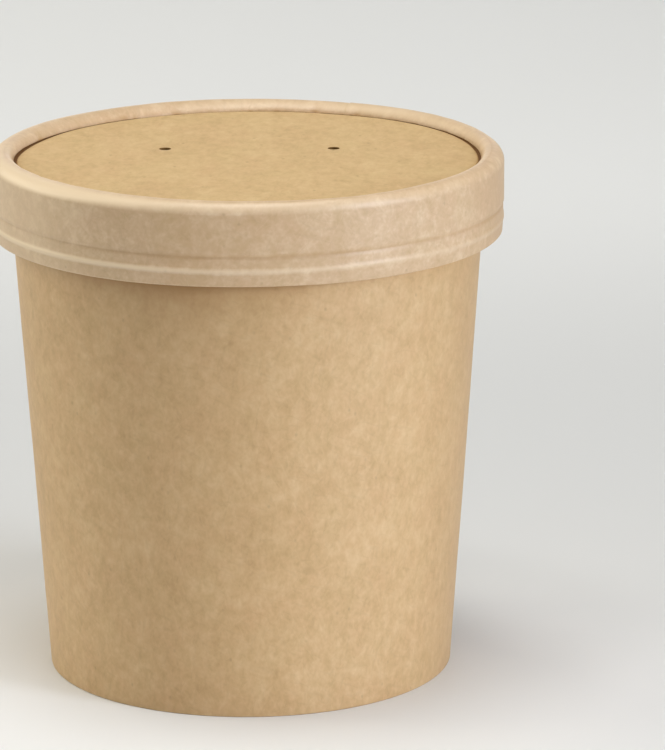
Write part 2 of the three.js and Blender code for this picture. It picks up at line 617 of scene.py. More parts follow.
@dataclass
class PaperEffects:
    """The shader groups that every kind of board is made with, built once.

    Attributes:
        clouds: the broad mottle of the pulp.
        clumps: its smaller mottle.
        fine: the roughness of its surface.
        drifts: where it is redder.
        pale_fibres: two lays of pale fibres that cross.
        dark_fibres: two lays of dark ones.
        dark_share: how strongly the dark fibres show beside the flecks.
        fleck_share: how dark flecks are.
        rub_and_highlight_share: how pale a fully rubbed place with its painted highlight is.
    """

    clouds: Speckle = Speckle(95.0, 3.5, 0.9, 0.36)
    clumps: Speckle = Speckle(400.0, 2.5, 0.8, 0.34)
    fine: Speckle = Speckle(1900.0, 2.0, 0.6, 0.25)
    drifts: Speckle = Speckle(110.0, 2.0, 0.8, 0.25)
    pale_fibres: tuple[Strands, Strands] = (Strands(24, 520), Strands(-48, 600))
    dark_fibres: tuple[Strands, Strands] = (Strands(68, 470), Strands(-12, 540))
    dark_share: float = 0.3
    fleck_share: float = 0.22
    rub_and_highlight_share: float = 0.65
    grain: bpy.types.NodeTree = field(init=False)
    tint: bpy.types.NodeTree = field(init=False)

    def __post_init__(self) -> None:
        """Builds both groups."""
        self.grain = self._grain()
        self.tint = self._tint()

    def _grain(self) -> bpy.types.NodeTree:
        """The pulp's structure: mottle of all sizes, drifts of warmth, single fibres and flecks.

        Returns:
            The group, which gives a mask for each and the height of the surface.
        """
        group = ShaderGroup(
            "kraft_grain",
            {"Sheet": (Socket.VECTOR, (0, 0, 0)), "Draw": (Socket.NUMBER, 1.0)},
            {label: Socket.NUMBER for label in ("Mottle", "Warmth", "Fibres", "Flecks", "Height")},
        )
        drawn = group.node("ShaderNodeCombineXYZ", {0: 1.0, 1: group.taken("Draw"), 2: 1.0}).outputs[0]
        stretched = {0: group.taken("Sheet"), 1: drawn}
        along = group.node("ShaderNodeVectorMath", stretched, operation="MULTIPLY").outputs[0]
        both = group.math("ADD", group.speckle(along, self.clouds), group.speckle(along, self.clumps))
        mottle = group.math("SUBTRACT", both, 0.5)
        fibres = group.stronger(*(self._strands(group, lay) for lay in self.pale_fibres))
        dark = group.stronger(*(self._strands(group, lay) for lay in self.dark_fibres))
        faint = group.math("MULTIPLY", dark, self.dark_share)
        flecks = group.stronger(self._flecks(group, along), faint)
        fine = group.speckle(along, self.fine)
        height = group.math("MULTIPLY_ADD", fine, 0.4, group.math("MULTIPLY", mottle, 0.5))
        group.give("Mottle", mottle)
        group.give("Warmth", group.speckle(along, self.drifts))
        group.give("Fibres", fibres)
        group.give("Flecks", flecks)
        group.give("Height", group.math("MULTIPLY_ADD", fibres, 0.2, height))
        return group.tree

    @staticmethod
    def _strands(group: ShaderGroup, strands: Strands) -> bpy.types.NodeSocket:
        """One lay of fibres, which are the crests of a long-drawn noise.

        Args:
            group: the group they are made in.
            strands: how they lie.

        Returns:
            The socket of their mask.
        """
        turned = {
            "Vector": group.taken("Sheet"),
            "Rotation": (0, 0, math.radians(strands.turn)),
            "Scale": (1.0, strands.stretch, 1.0),
        }
        laid = group.node("ShaderNodeMapping", turned, vector_type="TEXTURE").outputs[0]
        wavy = {"Vector": laid, "Scale": strands.scale, "Detail": 1.0, "Distortion": 0.3}
        wave = group.node("ShaderNodeTexNoise", wavy).outputs[0]
        off_crest = group.math("ABSOLUTE", group.math("SUBTRACT", wave, 0.5))
        patchy = group.speckle(laid, Speckle(strands.scale * 2.2, 1.0, 0.5, 0.1))
        return group.math("MULTIPLY", group.ramp(off_crest, strands.width, 0.0), patchy)

    @staticmethod
    def _flecks(group: ShaderGroup, place: bpy.types.NodeSocket) -> bpy.types.NodeSocket:
        """Sparse dark woody scraps, each at the heart of a cell, in one cell of ten.

        Args:
            group: the group they are made in.
            place: the socket of the coordinates.

        Returns:
            The socket of their mask.
        """
        cells = group.node("ShaderNodeTexVoronoi", {"Vector": place, "Scale": 700.0, "Randomness": 1.0})
        chosen = group.node("ShaderNodeSeparateColor", {"Color": cells.outputs["Color"]}).outputs[0]
        rare = group.ramp(chosen, 0.9, 1.0)
        return group.math("MULTIPLY", rare, group.ramp(cells.outputs["Distance"], 0.3, 0.1))

    def _tint(self) -> bpy.types.NodeTree:
        """The colour of the board from its grain, from rubbing and painted highlight, and from painted
        shade in creases and under edges.

        Returns:
            The group, which gives a colour and a roughness.
        """
        masks = ("Mottle", "Warmth", "Fibres", "Flecks", "RubAndPaintedLight")
        shades = ("Body", "Pale", "Deep", "Warm", "Fold", "Bark_and_shade")
        group = ShaderGroup(
            "kraft_tint",
            {
                **{label: (Socket.NUMBER, 0.0) for label in masks},
                **{label: (Socket.COLOUR, (0.5, 0.5, 0.5, 1.0)) for label in shades},
                "Contrast": (Socket.NUMBER, 0.3),
                "Drift": (Socket.NUMBER, 0.3),
                "Hairs": (Socket.NUMBER, 0.2),
                "Smooth": (Socket.NUMBER, 0.6),
                "Rough": (Socket.NUMBER, 0.8),
            },
            {"Color": Socket.COLOUR, "Roughness": Socket.NUMBER},
        )
        contrast = group.taken("Contrast")
        lift = group.math("MULTIPLY", group.math("SUBTRACT", group.taken("Mottle"), 0.5), contrast)
        warm = group.math("MULTIPLY", group.taken("Warmth"), group.taken("Drift"), clamp=True)
        fibre = group.math("MULTIPLY", group.taken("Fibres"), group.taken("Hairs"), clamp=True)
        fleck = group.math("MULTIPLY", group.taken("Flecks"), self.fleck_share, clamp=True)
        rub_and_painted_light = group.taken("RubAndPaintedLight")
        steps = (
            (warm, "Warm"),
            (group.math("MULTIPLY", lift, 2.0, clamp=True), "Pale"),
            (group.math("MULTIPLY", lift, -2.0, clamp=True), "Deep"),
            (fibre, "Pale"),
            (fleck, "Bark_and_shade"),
            # Above 0 the value mixes in the pale of rubbing and a painted highlight; below 0 it mixes
            # in painted shade, first the fold colour and then the darkest one.
            (group.math("MULTIPLY", rub_and_painted_light, self.rub_and_highlight_share, clamp=True), "Pale"),
            (group.math("MULTIPLY", rub_and_painted_light, -2.0, clamp=True), "Fold"),
            (group.math("MULTIPLY_ADD", rub_and_painted_light, -2.0, -1.0, clamp=True), "Bark_and_shade"),
        )
        colour = group.taken("Body")
        for share, shade in steps:
            colour = self._mixed(group, share, colour, group.taken(shade))
        group.give("Color", colour)
        smooth, rough = group.taken("Smooth"), group.taken("Rough")
        ends = {"Value": group.taken("Mottle"), "To Min": smooth, "To Max": rough}
        group.give("Roughness", group.node("ShaderNodeMapRange", ends).outputs[0])
        return group.tree

    @staticmethod
    def _mixed(group: ShaderGroup, share: Any, low: Any, high: Any) -> bpy.types.NodeSocket:
        """Mixes two colours inside a group.

        Args:
            group: the group.
            share: the socket of the second colour's share.
            low: the first colour.
            high: the second colour.

        Returns:
            The socket of the mixed colour.
        """
        mix = group.node("ShaderNodeMix", {0: share, 6: low, 7: high}, data_type="RGBA")
        return mix.outputs[2]


@dataclass(frozen=True)
class Kraft:
    """One kind of kraft board.

    Attributes:
        name: the material's name.
        body: its usual colour.
        pale: where pulp is thin, where the surface is rubbed, and where a highlight is painted.
        deep: where pulp is dense.
        warm: the redder tint that drifts over it.
        fold: the shade in folds and under edges.
        bark_and_shade: flecks, and the painted shade deepest in the closest folds.
        contrast: how strongly the grain shows in the colour.
        drift: how strongly the redder tint shows.
        hairs: how strongly the pale single fibres show.
        draw: how many times the grain is squeezed along the section, below 1 for upright streaks.
        smooth: the lowest roughness.
        rough: the highest roughness.
        gloss: how strongly the surface mirrors light.
        relief: how deep the grain is.
        shift: moves the grain, so that no two pieces show the same part of it.
    """

    name: str
    body: Shade
    pale: Shade
    deep: Shade
    warm: Shade
    fold: Shade = (0.36, 0.19, 0.075)
    bark_and_shade: Shade = (0.09, 0.038, 0.01)
    contrast: float = 0.8
    drift: float = 0.8
    hairs: float = 0.22
    draw: float = 1.0
    smooth: float = 0.62
    rough: float = 0.8
    gloss: float = 0.5
    relief: float = 0.03 * MM
    shift: tuple[float, float, float] = (0.0, 0.0, 0.0)

    def make(self, effects: PaperEffects) -> bpy.types.Material:
        """Builds the material.

        Args:
            effects: the shared shader groups.

        Returns:
            The material.
        """
        material = bpy.data.materials.new(self.name)
        material.use_nodes = True
        tree = material.node_tree
        shader = tree.nodes["Principled BSDF"]
        sheet = add_node(tree, "ShaderNodeUVMap", {}, uv_map="grain").outputs[0]
        moved = {"Vector": sheet, "Location": self.shift}
        placed = add_node(tree, "ShaderNodeMapping", moved).outputs[0]
        grain = add_node(tree, "ShaderNodeGroup", {}, node_tree=effects.grain)
        tree.links.new(placed, grain.inputs["Sheet"])
        grain.inputs["Draw"].default_value = self.draw
        rub_and_painted_light = add_node(tree, "ShaderNodeAttribute", {}, attribute_name="rub_and_painted_light").outputs["Fac"]
        tint = add_node(tree, "ShaderNodeGroup", {}, node_tree=effects.tint)
        for mask in ("Mottle", "Warmth", "Fibres", "Flecks"):
            tree.links.new(grain.outputs[mask], tint.inputs[mask])
        tree.links.new(rub_and_painted_light, tint.inputs["RubAndPaintedLight"])
        for label in ("Body", "Pale", "Deep", "Warm", "Fold", "Bark_and_shade"):
            tint.inputs[label].default_value = (*getattr(self, label.lower()), 1.0)
        for label in ("Contrast", "Drift", "Hairs", "Smooth", "Rough"):
            tint.inputs[label].default_value = getattr(self, label.lower())
        raised = {"Height": grain.outputs["Height"], "Strength": 1.0, "Distance": self.relief}
        bump = add_node(tree, "ShaderNodeBump", raised)
        tree.links.new(tint.outputs["Color"], shader.inputs["Base Color"])
        tree.links.new(tint.outputs["Roughness"], shader.inputs["Roughness"])
        tree.links.new(bump.outputs["Normal"], shader.inputs["Normal"])
        shader.inputs["Specular IOR Level"].default_value = self.gloss
        shader.inputs["IOR"].default_value = 1.5
        return material


CUP_KRAFT = Kraft(
    name="cup_board",
    body=(0.62, 0.42, 0.205),
    pale=(0.735, 0.53, 0.288),
    deep=(0.505, 0.318, 0.137),
    warm=(0.648, 0.414, 0.208),
    fold=(0.36, 0.185, 0.055),
    contrast=0.76,
    draw=0.8,
    smooth=0.45,
    rough=0.56,
    gloss=0.55,
)
BASE_KRAFT = Kraft(
    name="base_board",
    body=(0.62, 0.43, 0.225),
    pale=(0.71, 0.515, 0.295),
    deep=(0.525, 0.345, 0.165),
    warm=(0.645, 0.425, 0.228),
    gloss=0.2,
    shift=(0.31, 0.17, 0.0),
)
BAND_PAPER = Kraft(
    name="band_board",
    body=(0.617, 0.44, 0.258),
    pale=(0.83, 0.66, 0.455),
    deep=(0.49, 0.32, 0.15),
    warm=(0.64, 0.435, 0.268),
    fold=(0.5, 0.3, 0.13),
    bark_and_shade=(0.1, 0.036, 0.006),
    contrast=0.56,
    hairs=0.13,
    smooth=0.38,
    rough=0.52,
    gloss=0.6,
    relief=0.022 * MM,
    shift=(0.73, 0.41, 0.0),
)
DISC_KRAFT = Kraft(
    name="disc_board",
    body=(0.614, 0.437, 0.216),
    pale=(0.71, 0.53, 0.288),
    deep=(0.485, 0.32, 0.142),
    warm=(0.62, 0.412, 0.213),
    fold=(0.3, 0.165, 0.05),
    bark_and_shade=(0.1, 0.036, 0.006),
    contrast=0.66,
    draw=0.5,
    gloss=0.2,
    shift=(0.12, 0.55, 0.0),
)


# ---- The pieces of the box ------------------------------------------------


def place_piece(piece: bpy.types.Object, node: Node, material: bpy.types.Material) -> None:
    """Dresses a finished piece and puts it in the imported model's place.

    Args:
        piece: the finished object.
        node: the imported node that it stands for.
        material: its finish.
    """
    piece.data.materials.append(material)
    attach(piece, "root")
    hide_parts(node.value)
    LOG.info("%s: %d faces, for %s", piece.name, len(piece.data.polygons), node.value)


def default_vents() -> tuple[Vent, Vent]:
    """Both steam holes, side by side towards the back."""
    return Vent(Vector((-16.4 * MM, 8.2 * MM))), Vent(Vector((17.3 * MM, 7.6 * MM)))


@dataclass(frozen=True)
class Ring:
    """A value that changes smoothly from angle to angle round the box.

    Attributes:
        knots: pairs of an angle in degrees and the value there, in order from 0.
    """

    knots: tuple[tuple[float, float], ...]

    def at(self, angle: float) -> float:
        """The value at an angle, eased from one knot to the next.

        Args:
            angle: the angle round the axis.

        Returns:
            The value.
        """
        degrees = math.degrees(angle) % 360
        ring = [*self.knots, (self.knots[0][0] + 360, self.knots[0][1])]
        for (low, before), (high, after) in zip(ring, ring[1:]):
            if degrees < high:
                share = (degrees - low) / (high - low)
                return before + (after - before) * share * share * (3 - 2 * share)
        return self.knots[0][1]


# Shapes: how far, in millimetres inwards, the bead's crest, its lip and the disc's edge stray.
CREST_SWAY = Ring(
    ((0, -0.1), (25, -0.8), (50, 0.0), (80, 0.3), (140, -0.8), (180, -0.1), (225, 0.4), (270, 0.4),
     (310, 1.3))
)
LIP_SWAY = Ring(
    ((0, 0.3), (90, 0.0), (130, -0.4), (165, 0.6), (210, 1.3), (240, 1.0), (270, 0.1), (315, 1.0))
)
GAP_SWAY = Ring(
    ((0, 0.0), (75, 0.0), (98, 0.25), (125, 0.1), (180, 0.0), (230, 0.1), (257, 0.5), (285, 0.0))
)
# Painted light round the box: how strong the bead's rubbing and painted highlight are, and the painted
# light (above 0) and shade (below 0) of band and wall.
BEAD_PAINTED_HIGHLIGHT = Ring(
    ((0, 0.8), (45, 0.35), (80, 0.3), (115, 0.9), (142, 1.7), (180, 0.85), (215, 0.3), (260, 0.4),
     (295, 1.6), (325, 1.6))
)
BAND_PAINTED_LIGHT = Ring(
    ((0, -0.1), (22, -0.02), (50, 0.0), (78, -0.2), (100, -0.2), (140, 0.0), (250, 0.1), (285, 0.45),
     (305, 0.45), (330, 0.0), (347, -0.13))
)
WALL_PAINTED_SHADE = Ring(
    ((0, -0.05), (15, 0.0), (45, 0.0), (72, -0.09), (95, -0.09), (140, 0.0), (310, 0.0), (345, -0.06))
)
# The painted shadow on the wall close under the band: how deep it is, and over how many millimetres.
BROW_SHADE = Ring(
    ((0, 0.42), (35, 0.36), (60, 0.26), (110, 0.2), (250, 0.2), (295, 0.3), (320, 0.5), (345, 0.5))
)
BROW_REACH = Ring(
    ((0, 2.6), (30, 1.0), (60, 1.4), (180, 1.4), (270, 1.2), (300, 1.2), (325, 2.6), (345, 3.7))
)


@dataclass
class Cup:
    """The cup: a tapered wall from the foot ring up to the brim that is rolled under the lid.

    Attributes:
        foot_radius: the foot's outer radius.
        foot_ring: the width of its underside.
        foot_edge: the rounding of its edges.
        hem_height: the height of the hem turned in behind it.
        seat: how far the base's seat is set back.
        ceiling: the height of the solid over the base.
        neck_radius: the wall's radius under the brim.
        brim_radius: the outer radius of the rolled brim.
        roll_radius: the radius of its roll.
        brim_top: its height.
        well_depth: how deep the pit under each vent is; the pit stands for the box's dark inside, and
            its walls carry painted shade.
        brow: the height of the band's lower edge.
        columns: how many steps the full turn takes.
        lap: the wall's seam.
        gives: the give of its board, broad and fine.
        vents: the vents above it.
    """

    foot_radius: float = 40.6 * MM
    foot_ring: float = 2.0 * MM
    foot_edge: float = 0.3 * MM
    hem_height: float = 6.3 * MM
    seat: float = 0.7 * MM
    ceiling: float = 7.5 * MM
    neck_radius: float = 47.4 * MM
    brim_radius: float = 49.9 * MM
    roll_radius: float = 1.4 * MM
    brim_top: float = 102.1 * MM
    well_depth: float = 7.0 * MM
    brow: float = 88.9 * MM
    columns: int = 288
    lap: Lap = field(default_factory=lambda: Lap(math.pi, 0.3 * MM))
    gives: tuple[Give, Give] = (Give(0.10 * MM, 34 * MM, 3.1), Give(0.035 * MM, 9 * MM, 7.7))
    vents: tuple[Vent, Vent] = field(default_factory=default_vents)

    def section(self) -> Section:
        """The section from the middle of the underside, round the foot and over the brim.

        Returns:
            The section, whose skin is the outside of the wall.
        """
        inner = self.foot_radius - self.foot_ring
        roll = (self.brim_radius - self.roll_radius, self.brim_top - self.roll_radius)
        foot = (self.foot_radius - self.foot_edge, self.foot_edge)
        pen = Section().start(0.0, self.ceiling)
        pen.line(inner + self.seat, self.ceiling, 4)
        pen.line(inner + self.seat, self.hem_height)
        pen.line(inner, self.hem_height)
        pen.line(inner, self.foot_edge, 8)
        pen.line(inner + self.foot_edge, 0.0)
        pen.line(foot[0], 0.0, 2)
        pen.arc(foot, (self.foot_edge, self.foot_edge), -90, 0, 4, skin=1.0, rub_and_painted_light=0.7)
        pen.line(self.neck_radius, roll[1] - self.roll_radius, 96, skin=1.0)
        pen.arc(roll, (self.roll_radius, self.roll_radius), -60, 90, 8, skin=1.0)
        return pen.line(0.0, self.brim_top, 56)

    def build(self) -> bpy.types.Object:
        """Models the cup.

        Returns:
            The cup's object.
        """
        sheet = TurnedSheet(self.section(), self.columns)
        # Each vent opens a pit into the cup's top, which stands for the box's dark inside; its walls
        # carry painted shade.
        for vent in self.vents:
            floor = vent.open_up(sheet, self.brim_top)
            pushed = bmesh.ops.extrude_face_region(sheet.bm, geom=[floor])["geom"]
            sunk = [part for part in pushed if isinstance(part, bmesh.types.BMVert)]
            bmesh.ops.translate(sheet.bm, verts=sunk, vec=(0, 0, -self.well_depth))
            bmesh.ops.delete(sheet.bm, geom=[floor], context="FACES_ONLY")
        sheet.cut_lap(self.lap)
        self._paint_wall_shade(sheet)
        sheet.press(self.unevenness)
        sheet.lay_grain(self.neck_radius, self.lap.angle)
        return sheet.finish("cup_wall")

    def _paint_wall_shade(self, sheet: TurnedSheet) -> None:
        """Paints shade on the wall, deeper on some sides round the box, and a painted shadow close
        under the lid's band.

        Args:
            sheet: the spun wall.
        """
        for vert in sheet.bm.verts:
            if vert[sheet.skin] > 0:
                angle = angle_of(vert.co)
                below = max(0.0, self.brow - vert.co.z) / (BROW_REACH.at(angle) * MM)
                vert[sheet.rub_and_painted_light] += WALL_PAINTED_SHADE.at(angle) - BROW_SHADE.at(angle) * math.exp(-below)

    def unevenness(self, angle: float, run: float) -> float:
        """How far the wall lies below its round shape: its lap, and the give of the board.

        Args:
            angle: the angle round the axis.
            run: the length along the section.

        Returns:
            The depth.
        """
        gives = sum(give.at(angle, run, self.neck_radius) for give in self.gives)
        return self.lap.depth(angle) + gives


@dataclass
class Base:
    """The raised base, a level disc that lies over the hem of the foot.

    Attributes:
        radius: its radius.
        underside: the height of its underside.
        thickness: the board's thickness.
        rise: how far its middle is pressed in.
        shoulder: how many times faster than to its middle it rises from its rim.
        give: its unevenness, as a share of the rise.
        columns: how many steps the full turn takes.
    """

    radius: float = 39.0 * MM
    underside: float = 6.6 * MM
    thickness: float = 0.6 * MM
    rise: float = 0.25 * MM
    shoulder: float = 2.5
    give: Give = Give(0.2, 14 * MM, 5.5)
    columns: int = 192

    def build(self) -> bpy.types.Object:
        """Models the base.

        Returns:
            The base's object.
        """
        top = self.underside + self.thickness
        pen = Section().start(0.0, self.underside)
        pen.line(self.radius, self.underside, 30, skin=1.0)
        pen.line(self.radius, top, 1)
        pen.line(0.0, top, 6)
        sheet = TurnedSheet(pen, self.columns)
        sheet.press(self.unevenness)
        sheet.lay_flat_grain()
        return sheet.finish("base_disc")

    def unevenness(self, angle: float, run: float) -> float:
        """How far the underside is pressed in: a shallow dome with a slight unevenness.

        Args:
            angle: the angle round the axis.
            run: the distance from the middle.

        Returns:
            The depth.
        """
        share = max(0.0, 1 - run / self.radius)
        uneven = 1 - self.give.depth + self.give.at(angle, run, run + MM)
        return self.rise * min(1.0, self.shoulder * share) * uneven


@dataclass(frozen=True)
class Crease:
    """A short upright crease in the inside of the lid's bead.

    Attributes:
        angle: where it is.
        width: half its width.
        depth: how deep it is.
    """

    angle: float
    width: float
    depth: float

    def depth_at(self, angle: float, radius: float) -> float:
        """How deep the crease is near an angle.

        Args:
            angle: the angle round the axis.
            radius: the radius of the bead's inside.

        Returns:
            The depth.
        """
        away = (angle - self.angle + math.pi) % FULL_TURN - math.pi
        return self.depth * math.exp(-((away * radius / self.width) ** 2))


def rolled_creases() -> list[Crease]:
    """The creases that rolling left: the two that show at the back, and faint ones all round."""
    draw = random.Random(21)
    shown = [
        Crease(math.radians(162.4), 1.0 * MM, 0.2 * MM),
        Crease(math.radians(150.7), 0.9 * MM, 0.16 * MM),
    ]
    faint = [
        Crease(draw.uniform(0, FULL_TURN), draw.uniform(0.5, 1.6) * MM, draw.uniform(0.02, 0.08) * MM)
        for _ in range(46)
    ]
    return shown + faint


@dataclass
class LidBand:
    """The lid's band: a round bead on top, then a groove, a channel, a ridge and a doubled hem.

    Attributes:
        radius: the band's outer radius.
        crest: the height of the bead's crest.
        height: the band's height.
        board: its thickness.
        bead_outer: how far the bead's outer side reaches from its middle.
        bead_inner: how far its inner side does.
        bead_drop: how far below its crest both sides stand upright.
        lip_bottom: the height at which the inner side ends.
        lip_slant: how much higher its cut edge ends.
        groove_depth: the depth of the groove.
        groove_half: half its width.
        groove_drop: its distance below the crest.
        channel: how far the strip between groove and ridge lies back.
        ridge_drop: the ridge's distance below the crest.
        ridge_half: half its width.
        hem_board: the thickness of the doubled hem.
        hem_edge: the rounding of its lower edge.
        hem_lean: how far it leans in.
        hem_height: its height inside.
        columns: how many steps the full turn takes.
        lap: the band's seam.
        gives: the give of its board, broad and fine.
        creases: the creases in the bead.
        crease_shade: how deep a shade each millimetre of a crease has.
    """

    radius: float = 51.0 * MM
    crest: float = 105.3 * MM
    height: float = 16.4 * MM
    board: float = 0.7 * MM
    bead_outer: float = 2.3 * MM
    bead_inner: float = 2.4 * MM
    bead_drop: float = 2.4 * MM
    lip_bottom: float = 103.2 * MM
    lip_slant: float = 0.15 * MM
    groove_depth: float = 0.28 * MM
    groove_half: float = 0.6 * MM
    groove_drop: float = 10.5 * MM
    channel: float = 0.16 * MM
    ridge_drop: float = 13.3 * MM
    ridge_half: float = 0.35 * MM
    hem_board: float = 1.3 * MM
    hem_edge: float = 0.4 * MM
    hem_lean: float = 0.3 * MM
    hem_height: float = 6.6 * MM
    columns: int = 480
    lap: Lap = field(default_factory=lambda: Lap(math.radians(154.3), 0.1 * MM, math.radians(20)))
    gives: tuple[Give, Give] = (Give(0.09 * MM, 21 * MM, 1.3), Give(0.04 * MM, 5 * MM, 9.4))
    creases: list[Crease] = field(default_factory=rolled_creases)
    crease_shade: float = 2.2

    def section(self) -> Section:
        """The section up the outside, over the bead and back down inside.

        Returns:
            The closed section, whose skin is the outside and the bead.
        """
        bottom = self.crest - self.height
        ridge = self.crest - self.ridge_drop
        groove = self.crest - self.groove_drop
        bead = (self.radius - self.bead_outer, self.crest - self.bead_drop)
        edge = (self.radius - self.hem_lean - self.hem_edge, bottom + self.hem_edge)
        inside = self.radius - self.board
        hem = self.radius - self.hem_board
        bed = self.radius - self.channel
        pen = Section().start(hem, bottom + self.hem_edge)
        pen.arc(edge, (self.hem_edge, self.hem_edge), -90, 0, 5, skin=1.0, rub_and_painted_light=0.15)
        pen.line(self.radius - self.hem_lean / 2, ridge - 2.2 * self.ridge_half, 5, skin=1.0)
        # The ridge is rubbed pale, partly wear and partly a painted highlight.
        pen.line(self.radius, ridge - self.ridge_half / 2, 3, skin=1.0, rub_and_painted_light=1.0)
        pen.line(self.radius, ridge + self.ridge_half / 2, 1, skin=1.0, rub_and_painted_light=1.0)
        pen.line(bed, ridge + 2.0 * self.ridge_half, 3, skin=1.0)
        pen.line(bed, groove - self.groove_half, 4, skin=1.0)
        # The groove is darkened with painted shade.
        pen.line(self.radius - self.groove_depth, groove, 3, skin=1.0, rub_and_painted_light=-0.17)
        pen.line(self.radius, groove + self.groove_half, 3, skin=1.0)
        pen.line(self.radius, bead[1], 16, skin=1.0)
        # The bead's crest is rubbed pale, partly wear and partly a painted highlight; its inside turns
        # to painted shade towards the lip.
        pen.arc(bead, (self.bead_outer, self.bead_drop), 0, 90, 14, skin=1.0, rub_and_painted_light=1.0)
        pen.arc(bead, (self.bead_inner, self.bead_drop), 90, 172, 16, skin=1.0, rub_and_painted_light=0.7, fade=-0.26)
        lip = bead[0] - self.bead_inner
        # The lip's cut edge is darkened with painted shade.
        pen.line(lip + self.board / 3, self.lip_bottom, 2, rub_and_painted_light=-0.8)
        pen.line(lip + self.board, self.lip_bottom + self.lip_slant, 1, rub_and_painted_light=-1.0)
        pen.arc(bead, (self.bead_inner - self.board, self.bead_drop - self.board), 160, 90, 5)
        pen.arc(bead, (self.bead_outer - self.board, self.bead_drop - self.board), 90, 0, 5)
        pen.line(inside, bottom + self.hem_height + self.board, 4)
        return pen.line(hem, bottom + self.hem_height, 1)

    def build(self) -> bpy.types.Object:
        """Models the band.

        Returns:
            The band's object.
        """
        sheet = TurnedSheet(self.section(), self.columns)
        sheet.cut_lap(self.lap)
        self._sway(sheet)
        self._crease(sheet)
        sheet.press(self.unevenness)
        sheet.lay_grain(self.radius, self.lap.angle)
        return sheet.finish("band_strip")

    def _sway(self, sheet: TurnedSheet) -> None:
        """Lets the bead stray from its round, as a rolled bead does, scales the bead's rubbing and
        painted highlight round the box, and paints light and shade on the band's outside.

        Args:
            sheet: the spun band.
        """
        middle = self.radius - self.bead_outer
        for vert in sheet.bm.verts:
            angle, reach = angle_of(vert.co), vert.co.xy.length
            # Painted highlight on the bead, and painted light and shade on the band's outside, both
            # changing round the box.
            if vert[sheet.rub_and_painted_light] > 0:
                vert[sheet.rub_and_painted_light] *= BEAD_PAINTED_HIGHLIGHT.at(angle)
            if vert[sheet.skin] > 0 and reach > middle:
                vert[sheet.rub_and_painted_light] += BAND_PAINTED_LIGHT.at(angle)
            if vert.co.z < self.crest - self.bead_drop:
                continue
            crest, lip = CREST_SWAY.at(angle), LIP_SWAY.at(angle)
            if reach > middle:
                shift = (self.radius - reach) / self.bead_outer * crest
            else:
                share = min(1.0, (middle - reach) / self.bead_inner)
                shift = crest + share * share * (lip - crest)
            vert.co -= shift * MM * direction_at(angle)

    def _crease(self, sheet: TurnedSheet) -> None:
        """Sinks the creases into the inside of the bead, deepest at its lip, and shades them.

        Args:
            sheet: the spun band.
        """
        middle = self.radius - self.bead_outer
        lip = middle - self.bead_inner
        for vert in sheet.bm.verts:
            reach = vert.co.xy.length
            if vert[sheet.skin] > 0 and reach < middle:
                share = (middle - reach) / self.bead_inner
                angle = angle_of(vert.co)
                depth = share * share * sum(crease.depth_at(angle, lip) for crease in self.creases)
                vert.co -= depth * sheet.outward(vert)
                vert[sheet.rub_and_painted_light] -= self.crease_shade * depth / MM

    def unevenness(self, angle: float, run: float) -> float:
        """How far the skin lies below its round shape.

        Args:
            angle: the angle round the axis.
            run: the length along the section.

        Returns:
            The depth.
        """
        gives = sum(give.at(angle, run, self.radius) for give in self.gives)
        return self.lap.depth(angle) + gives


